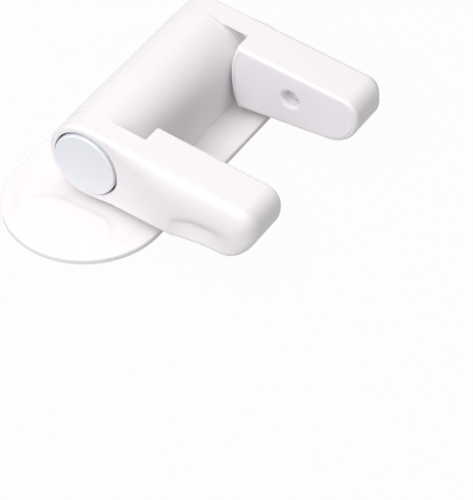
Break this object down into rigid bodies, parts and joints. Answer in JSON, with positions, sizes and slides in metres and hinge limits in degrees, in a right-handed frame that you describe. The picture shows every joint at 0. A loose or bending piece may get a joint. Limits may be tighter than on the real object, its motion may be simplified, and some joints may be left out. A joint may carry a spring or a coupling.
{
  "type": "lever handle safety lock",
  "caption": "Stick-on child-safety lock for a lever door handle: round-ended plate, barrel, and a swinging pair of arms freed by sprung push buttons.",
  "frame": {"origin": "centre of the foam pad's sticky face, on the door", "axes": "+Z out of the door, +Y along the barrel and the plate's length, +X along the arms as they lie at rest"},
  "size_m": [0.0833, 0.121, 0.0296],
  "materials": {
    "body": "white moulded ABS, fine satin gloss",
    "cover": "white moulded ABS, slightly duller",
    "button": "white moulded ABS with a cool tint",
    "foam": "dark acrylic foam tape",
    "fastener": "zinc-plated steel",
    "lacquer": "white lacquered steel",
    "spring": "bright spring wire"
  },
  "bodies": {
    "base": {"adhesive_pad": "foam", "base_plate": "body", "barrel_housing": "body", "housing_screw_1": "fastener", "housing_screw_2": "fastener", "housing_screw_3": "fastener", "housing_screw_4": "fastener"},
    "hook": {"pivot_axle": "fastener", "arm_shell_near": "body", "arm_shell_far": "body", "arm_cover_near": "cover", "arm_cover_far": "cover", "cover_screw_near": "lacquer", "cover_screw_far": "lacquer", "axle_washer_near": "fastener", "axle_washer_far": "fastener", "axle_screw_near": "fastener", "axle_screw_far": "fastener", "button_spring_near": "spring", "button_spring_far": "spring"},
    "near_button": {"button_near": "button"},
    "far_button": {"button_far": "button"}
  },
  "joints": [
    {"name": "hook_swing", "type": "hinge", "parent": "base", "child": "hook", "pos_m": [0, 0, 0.0164], "axis": [0, -1, 0], "range_deg": [0, 180]},
    {"name": "near_button_press", "type": "slide", "parent": "hook", "child": "near_button", "axis": [0, 1, 0], "range_m": [0, 0.0026], "stiffness_N_per_m": 800, "springref_m": -0.003, "deforming": ["button_spring_near"]},
    {"name": "far_button_press", "type": "slide", "parent": "hook", "child": "far_button", "axis": [0, -1, 0], "range_m": [0, 0.0026], "stiffness_N_per_m": 800, "springref_m": -0.003, "deforming": ["button_spring_far"]}
  ]
}
